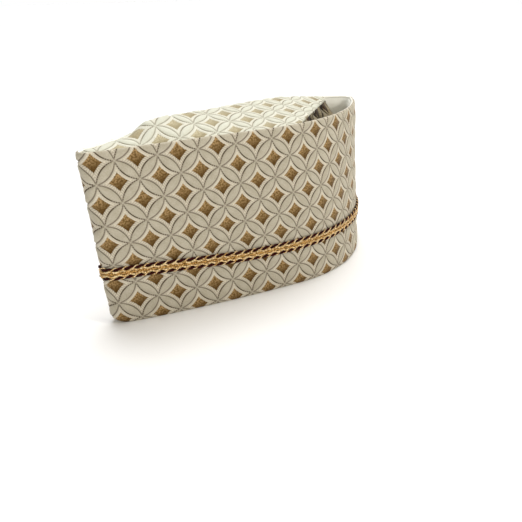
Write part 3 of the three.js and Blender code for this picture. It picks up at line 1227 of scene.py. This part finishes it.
@dataclass
class CrownBag(Brocade):
    """The almond-shaped bag: a full roof in one piece, loose rear sides and a plain inside."""

    inside: bpy.types.Material | None = None
    # A darker copy of the brocade for the loose sides: painted shade
    painted_shade_brocade: bpy.types.Material | None = None
    roof_diamond: Span = (46.43, 14.54)
    roof_row: Span = (24.32, 6.62)
    roof_column: Span = (8.34, -18.94)
    roof_edge_lean: float = 1.0
    roof_edge_relief: float = 3.0
    roof_pressed: float = 0.3
    probe: float = 0.4
    lip: float = 2.6
    lip_turns: tuple[Span, ...] = ((0.35, 0.4), (0.65, -0.1))
    lip_middle: float = 0.4
    side_diamond: Span = (8.0, 97.0)
    side_from: float = 118.0
    side_foot: float = 30.0
    side_below_edge: float = 0.6
    side_pressed: float = 0.25
    side_sunk: float = 0.3
    loose_over: Span = (6.0, 26.0)
    tail_bulge: float = 8.0
    bulge_below: Span = (3.0, 14.0)
    bulge_to_tip: Span = (-70.0, -25.0)
    crumple_over: Span = (55.0, 90.0)
    fold_ease: float = 5.0
    broad_fold: float = 4.6
    broad_length: float = 7.0
    broad_wander: Span = (1.3, 10.0)
    fine_fold: float = 2.2
    fine_lengths: Span = (4.2, 7.0)
    # Where the fold valleys get painted shade
    crease_shade_over: Span = (-3.0, -0.6)
    foot: float = 4.0
    inner_wall: float = 2.0
    under_cloth: float = 0.8
    shell_weld: float = 0.02
    shell_stations: int = 240
    shell_levels: int = 14
    outline_steps: int = 44
    roof_shares: tuple[float, ...] = (0.12, 0.3, 0.5, 0.7, 0.88, 1.0)

    def _roof(self) -> ClothMesh:
        """The roof, whose rows of diamonds run on from the band's."""
        form = self.form
        middle = np.array(self.roof_diamond)
        axes = np.array([self.roof_row, self.roof_column]) / self.lattice.pitch
        edge = form.shoulder(self.outline_steps)
        plan = np.concatenate([edge[:, :2], edge[-2:0:-1, :2] * np.array([1.0, -1.0])])
        flat = (plan - middle) @ np.linalg.inv(axes)
        cloth = FlatCloth(self.lattice, (0.0, 0.0), flat.min(0), flat.max(0))
        inside = flat.mean(0)
        for a, b in zip(flat, np.roll(flat, -1, axis=0)):
            away = np.array([b[1] - a[1], a[0] - b[0]])
            away = away if away @ (a - inside) > 0 else -away
            cloth.trim(tuple(a), tuple(away / np.linalg.norm(away)))
        fine = form.shoulder(form.roof_points)

        def lay(run: Array, rise: Array, relief: Array) -> Array:
            """Lays the cloth on the roof."""
            spot = middle + np.stack([run, rise], -1) @ axes
            along, across = spot[:, 0], spot[:, 1]
            height, left, right = (
                form.roof_height(along, across + aside) for aside in (0.0, -self.probe, self.probe)
            )
            to_edge = np.interp(along, fine[:, 0], fine[:, 1]) - np.abs(across)
            lean = (right - left) / (2.0 * self.probe) * smooth(to_edge, 0.0, self.roof_edge_lean)
            clear = smooth(to_edge, 0.0, self.roof_edge_relief)
            stand = relief * (self.roof_pressed + (1.0 - self.roof_pressed) * clear)
            stand = stand / np.sqrt(1.0 + lean**2)
            return np.stack([across - stand * lean, along + form.front_y, height + stand], -1)

        return cloth.laid(lay)

    def _turn_edge(self, roof: bpy.types.Object) -> None:
        """Turns the roof's edge down as a lip."""
        bm = bmesh.new()
        bm.from_mesh(roof.data)
        rim = [e for e in bm.edges if e.is_boundary]
        for depth, outward in self.lip_turns:
            made = bmesh.ops.extrude_edge_only(bm, edges=rim)["geom"]
            for point in (g for g in made if isinstance(g, bmesh.types.BMVert)):
                point.co.z -= depth * self.lip * MM
                if abs(point.co.x) > self.lip_middle * MM:
                    point.co.x += math.copysign(outward * MM, point.co.x)
            rim = [g for g in made if isinstance(g, bmesh.types.BMEdge) and g.is_boundary]
        for face in bm.faces:
            face.smooth = True
        bmesh.ops.recalc_face_normals(bm, faces=bm.faces)
        if sum(face.normal.z for face in bm.faces) < 0.0:
            bmesh.ops.reverse_faces(bm, faces=bm.faces)
        bm.to_mesh(roof.data)
        bm.free()

    def _side(self) -> ClothMesh:
        """The brocade side that hangs from the shoulder on the +X half, loose at the rear."""
        form = self.form
        top = form.shoulder_level - self.side_below_edge
        low = np.array([self.side_from, self.side_foot])
        cloth = FlatCloth(self.lattice, self.side_diamond, low, np.array([form.crown.length, top]))
        levels = [form.crown_wall_top, form.shoulder_level]
        insets = [form.crown_inset, form.shoulder_inset]

        def lay(run: Array, rise: Array, relief: Array) -> Array:
            """Lays the cloth down the side, with crumpled folds towards the tip."""
            loose = self._loose(run)
            folds = loose * smooth(top - rise, 0.0, self.fold_ease) * self._folds(run, rise)
            bulge = smooth(top - rise, *self.bulge_below)
            bulge = bulge * smooth(run - form.crown.length, *self.bulge_to_tip)
            crumple = (folds + self.tail_bulge * bulge) * smooth(rise, *self.crumple_over)
            relief = relief * (self.side_pressed + (1.0 - self.side_pressed) * loose)
            stand = relief + crumple - self.side_sunk
            return form.crown_side(run, rise, np.interp(rise, levels, insets) - stand)

        sheet = cloth.laid(lay)
        run, rise = (sheet.weave * self.lattice.pitch + np.array(self.side_diamond)).T
        # Painted shade in the valleys of the loose side's folds
        sheet.crease = self._loose(run) * smooth(-self._folds(run, rise), *self.crease_shade_over)
        return sheet

    def _loose(self, run: Array) -> Array:
        """How far the side hangs free, from 0 where it leaves the band to 1."""
        return smooth(run - self.form.crown_leaves, *self.loose_over)

    def _folds(self, run: Array, rise: Array) -> Array:
        """How far the crumpled folds of the loose side stand out."""
        wander, height = self.broad_wander
        broad = 1.0 - np.abs(np.sin(run / self.broad_length + wander * np.sin(rise / height)))
        along, up = self.fine_lengths
        fine = 1.0 - np.abs(np.sin(run / along - rise / up))
        return self.broad_fold * broad + self.fine_fold * fine

    def _shell_rows(self, inward: float) -> list[Array]:
        """Rings of one face of the bag's plain inner cloth, from its foot to the ridge.

        Args:
            inward: How far the face lies inside the crown's outer face.

        Returns:
            Rings of points round the cap.
        """
        form = self.form
        half = form.crown.length
        run = np.linspace(-half, half, self.shell_stations, endpoint=False)
        levels = np.linspace(self.foot, form.crown_wall_top, self.shell_levels)
        rows = [form.crown_side(run, level, form.crown_inset + inward) for level in levels]
        edge = form.crown_side(run, form.shoulder_level, form.shoulder_inset + inward)
        edge[:, 2] -= inward
        rows.append(edge)
        top = form.ridge(edge[:, 1] - form.front_y) - inward
        for share in self.roof_shares:
            arch = 1.0 - (1.0 - share) ** form.roof_fullness
            height = edge[:, 2] + (top - edge[:, 2]) * arch
            rows.append(np.stack([edge[:, 0] * (1.0 - share), edge[:, 1], height], -1))
        return rows

    def build(self) -> None:
        """Makes and installs the crown."""
        roof = self._roof().to_object("crown_cloth", self.finish)
        self._turn_edge(roof)
        side = self._side()
        # The loose sides wear the darker copy of the brocade: painted shade in the pocket behind the crown
        sides = side.joined(side.mirrored()).to_object("crown_sides", self.painted_shade_brocade)
        thicken(roof, self.thickness)
        thicken(sides, self.thickness)
        install(join("crown_cloth", [roof, sides]), "ivory_brocade", "crown")
        rows = self._shell_rows(self.inner_wall)[::-1] + self._shell_rows(self.under_cloth)
        core = plain_grid(rows, False).to_object("crown_inside", self.inside, self.shell_weld)
        install(core, "ivory_lining")


class Lay(Enum):
    """How the strands of a trim lie together."""

    WAVE = (2.0, 0.0)
    TWIST = (1.0, math.pi / 2.0)


@dataclass(frozen=True)
class Strands:
    """A set of equal strands that follow the braid's line."""

    name: str
    lay: Lay
    phases: tuple[float, ...]
    heights: tuple[float, ...]
    repeat: float
    sway: float
    lift: float
    radius: float
    proud: float
    step: float = 0.55
    sides: int = 6


@dataclass
class GoldBraid:
    """The trim over the join: wavy gold strands between two maroon cords with gold picots."""

    form: CapForm
    gold: bpy.types.Material
    bright: bpy.types.Material
    ground: bpy.types.Material
    maroon: bpy.types.Material
    repeat: float = 6.6
    edge_away: float = 3.05
    tape_width: float = 5.2
    tape_faces: Span = (0.15, 0.5)
    front_drop: float = 0.8
    drop_ends: Span = (60.0, 200.0)
    stations: int = 420

    def _ring(self, above: float, proud: float) -> Array:
        """Points round the band, above the braid's middle and proud of the band's face."""
        half = self.form.rim.length
        run = np.linspace(-half, half, self.stations, endpoint=False)
        drop = self.front_drop * (1.0 - smooth(np.abs(run), *self.drop_ends))
        return self.form.band(run, self.form.seam(run) - drop + above, -proud)

    def _line(self, name: str) -> bpy.types.Object:
        """The braid's line round the cap, as a closed loop of edges on the band's face."""
        points = self._ring(0.0, 0.0) * MM
        mesh = bpy.data.meshes.new(name)
        edges = [(k, (k + 1) % self.stations) for k in range(self.stations)]
        mesh.from_pydata(points.tolist(), edges, [])
        made = bpy.data.objects.new(name, mesh)
        bpy.context.scene.collection.objects.link(made)
        return made

    def _tree(self, strands: Strands) -> bpy.types.NodeTree:
        """The node tree that turns the line into strands."""
        tree = bpy.data.node_groups.new(strands.name, "GeometryNodeTree")
        face = tree.interface
        face.new_socket("Line", in_out="INPUT", socket_type="NodeSocketGeometry")
        for name in ("Repeats", "Sway", "Lift", "Radius", "Proud", "Step"):
            face.new_socket(name, in_out="INPUT", socket_type="NodeSocketFloat")
        face.new_socket("Finish", in_out="INPUT", socket_type="NodeSocketMaterial")
        face.new_socket("Strands", in_out="OUTPUT", socket_type="NodeSocketGeometry")
        g = Graph(tree)
        given = g.node("NodeGroupInput")
        size = {socket.name: Sock(g, socket) for socket in given.outputs if socket.name}
        line = g.out("GeometryNodeMeshToCurve", None, {"Mesh": size["Line"]})
        even = {"Curve": line, "Length": size["Step"]}
        line = g.out("GeometryNodeResampleCurve", {"mode": "LENGTH"}, even)
        share = g.out("GeometryNodeSplineParameter", None, None, "Factor")
        ahead = g.out("GeometryNodeInputTangent")
        outward = g.vector("NORMALIZE", g.vector("CROSS_PRODUCT", ahead, (0.0, 0.0, 1.0)))
        round_section = {"Resolution": strands.sides, "Radius": size["Radius"]}
        section = g.out("GeometryNodeCurvePrimitiveCircle", None, round_section)
        meet = g.node("GeometryNodeJoinGeometry")
        harmonic, shift = strands.lay.value
        for phase, height in zip(strands.phases, strands.heights):
            angle = share * size["Repeats"] * TURN + phase
            up = size["Sway"] * angle.sine() + height * MM
            out = size["Proud"] + size["Lift"] * (angle * harmonic + shift).sine()
            climb = g.out("ShaderNodeCombineXYZ", None, {"Z": up})
            offset = g.vector("ADD", climb, g.scaled(outward, out))
            strand = g.out("GeometryNodeSetPosition", None, {"Geometry": line, "Offset": offset})
            tube = g.out("GeometryNodeCurveToMesh", None, {"Curve": strand, "Profile Curve": section})
            tree.links.new(tube.socket, meet.inputs[0])
        smooth_tube = g.out("GeometryNodeSetShadeSmooth", None, {"Geometry": Sock(g, meet.outputs[0])})
        real = g.out("GeometryNodeRealizeInstances", None, {"Geometry": smooth_tube})
        dressed = g.out("GeometryNodeSetMaterial", None, {"Geometry": real, "Material": size["Finish"]})
        g.node("NodeGroupOutput", None, {"Strands": dressed})
        return tree

    def _strands(self, strands: Strands, finish: bpy.types.Material) -> bpy.types.Object:
        """Makes one set of strands as a plain mesh.

        Args:
            strands: Their sizes and lay.
            finish: Their material.

        Returns:
            The piece.
        """
        piece = self._line(strands.name)
        tree = self._tree(strands)
        girth = 2.0 * self.form.rim.length
        values = {
            "Repeats": float(round(girth / strands.repeat)),
            "Sway": strands.sway * MM,
            "Lift": strands.lift * MM,
            "Radius": strands.radius * MM,
            "Proud": strands.proud * MM,
            "Step": strands.step * MM,
            "Finish": finish,
        }
        modifier = piece.modifiers.new("strands", "NODES")
        modifier.node_group = tree
        for item in tree.interface.items_tree:
            if item.name in values:
                modifier[item.identifier] = values[item.name]
        settle(piece)
        return piece

    def _tape(self) -> None:
        """Makes and installs the dark tape under the strands, which shows dark in the gaps between them.
        """
        edge = self.tape_width / 2.0
        back, front = self.tape_faces
        section = [(-edge, back), (-edge, front), (edge, front), (edge, back)]
        rows = [self._ring(above, proud) for above, proud in section]
        piece = plain_grid(rows, True).to_object("braid_tape", self.ground)
        install(piece, "gold_thread")

    def _edge(self, node: str, away: float) -> None:
        """Makes and installs one edge of the braid.

        Args:
            node: The solid that its cord replaces.
            away: The edge's height above the braid's middle.
        """
        cord = Strands(
            f"{node}_cord", Lay.TWIST, phases=(0.0, 0.9), heights=(away, away), repeat=self.repeat,
            sway=0.42, lift=0.4, radius=0.68, proud=1.05,
        )
        install(self._strands(cord, self.maroon), "maroon_cord", node)
        picot = Strands(
            f"{node}_picot", Lay.TWIST, phases=(math.pi + 0.5,), heights=(away,), repeat=self.repeat,
            sway=0.8, lift=0.75, radius=0.38, proud=0.95,
        )
        install(self._strands(picot, self.bright), "gold_thread")

    def build(self) -> None:
        """Makes and installs the braid."""
        self._tape()
        plait = Strands(
            "braid_plait", Lay.WAVE, phases=(0.0, 1.9), heights=(1.4, -1.4), repeat=self.repeat,
            sway=0.42, lift=0.25, radius=0.6, proud=1.3,
        )
        install(self._strands(plait, self.bright), "gold_thread", "braid_core")
        heart = Strands(
            "braid_heart", Lay.TWIST, phases=(0.0, math.pi), heights=(0.0, 0.0),
            repeat=self.repeat / 2.0, sway=0.5, lift=0.35, radius=0.5, proud=1.05,
        )
        install(self._strands(heart, self.gold), "gold_thread")
        self._edge("braid_edge_upper", self.edge_away)
        self._edge("braid_edge_lower", -self.edge_away)


@dataclass(frozen=True)
class Lamp:
    """A soft square lamp that faces the cap."""

    name: str
    place: Point
    width: float
    power: float
    tint: Colour


@dataclass
class Studio:
    """The floor, the light and the camera."""

    form: CapForm
    lamps: tuple[Lamp, ...] = (
        Lamp("front", place=(0.7, -1.25, 1.1), width=0.35, power=6.0, tint=(1.0, 0.93, 0.80)),
        Lamp("side", place=(1.3, 0.5, 1.0), width=0.35, power=10.6, tint=(1.0, 0.95, 0.86)),
    )
    aim: Point = (0.0, 0.0, 0.06)
    overhead_power: float = 2.55
    overhead_from: Point = (-0.25, 0.32, 1.0)
    overhead_spread: float = 50.0
    surround: float = 0.14
    skyline: float = 1.0
    skyline_over: Span = (0.12, 0.03)
    backdrop: float = 0.7
    backdrop_over: Span = (0.0, 0.7)
    backdrop_towards: Point = (-0.73, 0.69, 0.0)
    camera_from_front: Point = (301.3, -160.2, 188.3)
    camera_right: Point = (0.7163, 0.6973, -0.0247)
    camera_down: Point = (0.2677, -0.3073, -0.9132)
    sensor: float = 36.0
    focal_share: float = 591.74 / 522.0
    nearest: float = 0.01
    floor_reach: float = 120.0

    def _floor(self) -> None:
        """The pale floor, which reaches to the skyline."""
        reach = self.floor_reach
        mesh = bpy.data.meshes.new("floor")
        corners = [(-reach, -reach, 0.0), (reach, -reach, 0.0), (reach, reach, 0.0), (-reach, reach, 0.0)]
        mesh.from_pydata(corners, [], [(0, 1, 2, 3)])
        mesh.materials.append(FloorFinish().build())
        floor = bpy.data.objects.new("floor", mesh)
        bpy.context.scene.collection.objects.link(floor)

    def _lamp(self, data: bpy.types.Light, place: Vector, target: Vector) -> None:
        """Hangs a lamp at a place, facing a target."""
        made = bpy.data.objects.new(data.name, data)
        made.location = place
        made.rotation_euler = (target - place).to_track_quat("-Z", "Y").to_euler()
        bpy.context.scene.collection.objects.link(made)

    def _light(self) -> None:
        """Soft light from above and behind, two small lamps and a surround that is brightest behind."""
        target = Vector(self.aim)
        overhead = bpy.data.lights.new("overhead", "SUN")
        overhead.energy = self.overhead_power
        overhead.angle = math.radians(self.overhead_spread)
        self._lamp(overhead, target + Vector(self.overhead_from), target)
        for lamp in self.lamps:
            data = bpy.data.lights.new(lamp.name, "AREA")
            data.shape = "SQUARE"
            data.size = lamp.width
            data.energy = lamp.power
            data.color = lamp.tint
            self._lamp(data, Vector(lamp.place), target)
        world = bpy.data.worlds.new("studio")
        world.use_nodes = True
        g = Graph(world.node_tree)
        towards = g.place("Generated")
        height = g.parts(towards)[2]
        behind = g.vector("DOT_PRODUCT", towards, self.backdrop_towards, output="Value")
        sky = behind.step(*self.backdrop_over).on(self.surround, self.backdrop)
        strength = sky.most(self.skyline * height.step(*self.skyline_over))
        even = g.out("ShaderNodeBackground", None, {"Color": (1.0, 1.0, 1.0, 1.0), "Strength": strength})
        g.node("ShaderNodeOutputWorld", None, {"Surface": even})
        bpy.context.scene.world = world

    def _camera(self) -> None:
        """The camera at the photograph's angle to the cap."""
        right, up = Vector(self.camera_right), -Vector(self.camera_down)
        back = right.cross(up)
        place = Vector(self.camera_from_front) + Vector((0.0, self.form.front_y, 0.0))
        data = bpy.data.cameras.new("camera")
        data.sensor_width = self.sensor
        data.lens = self.sensor * self.focal_share
        data.clip_start = self.nearest
        made = bpy.data.objects.new("camera", data)
        turn = Matrix((right, up, back)).transposed().to_4x4()
        made.matrix_world = Matrix.Translation(place * MM) @ turn
        bpy.context.scene.collection.objects.link(made)
        bpy.context.scene.camera = made

    def build(self) -> None:
        """Sets the studio up."""
        self._floor()
        self._light()
        self._camera()
        bpy.context.scene.view_settings.view_transform = "Standard"


def main() -> None:
    """Builds the studio and the cap's pieces in order."""
    logging.basicConfig(level=logging.INFO, format="%(name)s %(message)s")
    form = CapForm(front_y=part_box("side_band")[0].y / MM)
    lattice = Lattice()
    brocade = BrocadeFinish(lattice).build()
    # A paler, cooler copy of the brocade for the roof, with fainter lines: painted light and sheen on the
    # roof
    crown = BrocadeFinish(
        lattice,
        name="crown_brocade_painted_light",
        petal=(0.66, 0.665, 0.565),
        petal_warm=(0.62, 0.615, 0.51),
        border=(0.68, 0.67, 0.57),
        border_painted_highlight=(0.74, 0.73, 0.63),
        border_ribs_and_shade=(0.62, 0.60, 0.50),
        groove=(0.25, 0.22, 0.155),
        gold_fleck_and_painted_light=(0.42, 0.37, 0.245),
        gold_fleck_and_painted_shade=(0.29, 0.245, 0.145),
    ).build()
    # A darker copy of the brocade for the crown's loose sides: painted shade for the pocket behind the
    # crown
    painted_shade_brocade = BrocadeFinish(
        lattice,
        name="brocade_painted_shade",
        petal=(0.25, 0.215, 0.14),
        petal_warm=(0.17, 0.14, 0.085),
        border=(0.25, 0.21, 0.13),
        border_painted_highlight=(0.30, 0.255, 0.165),
        border_ribs_and_shade=(0.13, 0.10, 0.055),
        groove=(0.012, 0.008, 0.004),
        gold_fleck_and_painted_light=(0.12, 0.062, 0.016),
        gold_fleck_and_painted_shade=(0.03, 0.011, 0.001),
    ).build()
    lining = LiningFinish().build()
    gold = ThreadFinish(
        "gold_thread", light=(0.70, 0.42, 0.12), dark=(0.25, 0.11, 0.015), metallic=0.3, rough=0.25
    ).build()
    bright = ThreadFinish(
        "bright_thread", light=(1.0, 0.80, 0.46), dark=(0.55, 0.29, 0.07), metallic=0.2, rough=0.25
    ).build()
    ground = ThreadFinish(
        "gold_ground", light=(0.34, 0.17, 0.035), dark=(0.12, 0.05, 0.008), metallic=0.3, rough=0.4
    ).build()
    maroon = ThreadFinish(
        "maroon_cord", light=(0.05, 0.003, 0.002), dark=(0.014, 0.001, 0.001), metallic=0.0, rough=0.6,
        shine=0.1,
    ).build()
    Studio(form).build()
    SideBand(form, lattice, brocade, plain=lining).build()
    HemBand(form, lattice, brocade).build()
    BandLining(form, lining).build()
    CrownBag(form, lattice, crown, inside=lining, painted_shade_brocade=painted_shade_brocade).build()
    GoldBraid(form, gold, bright, ground, maroon).build()


if __name__ == "__main__":
    main()
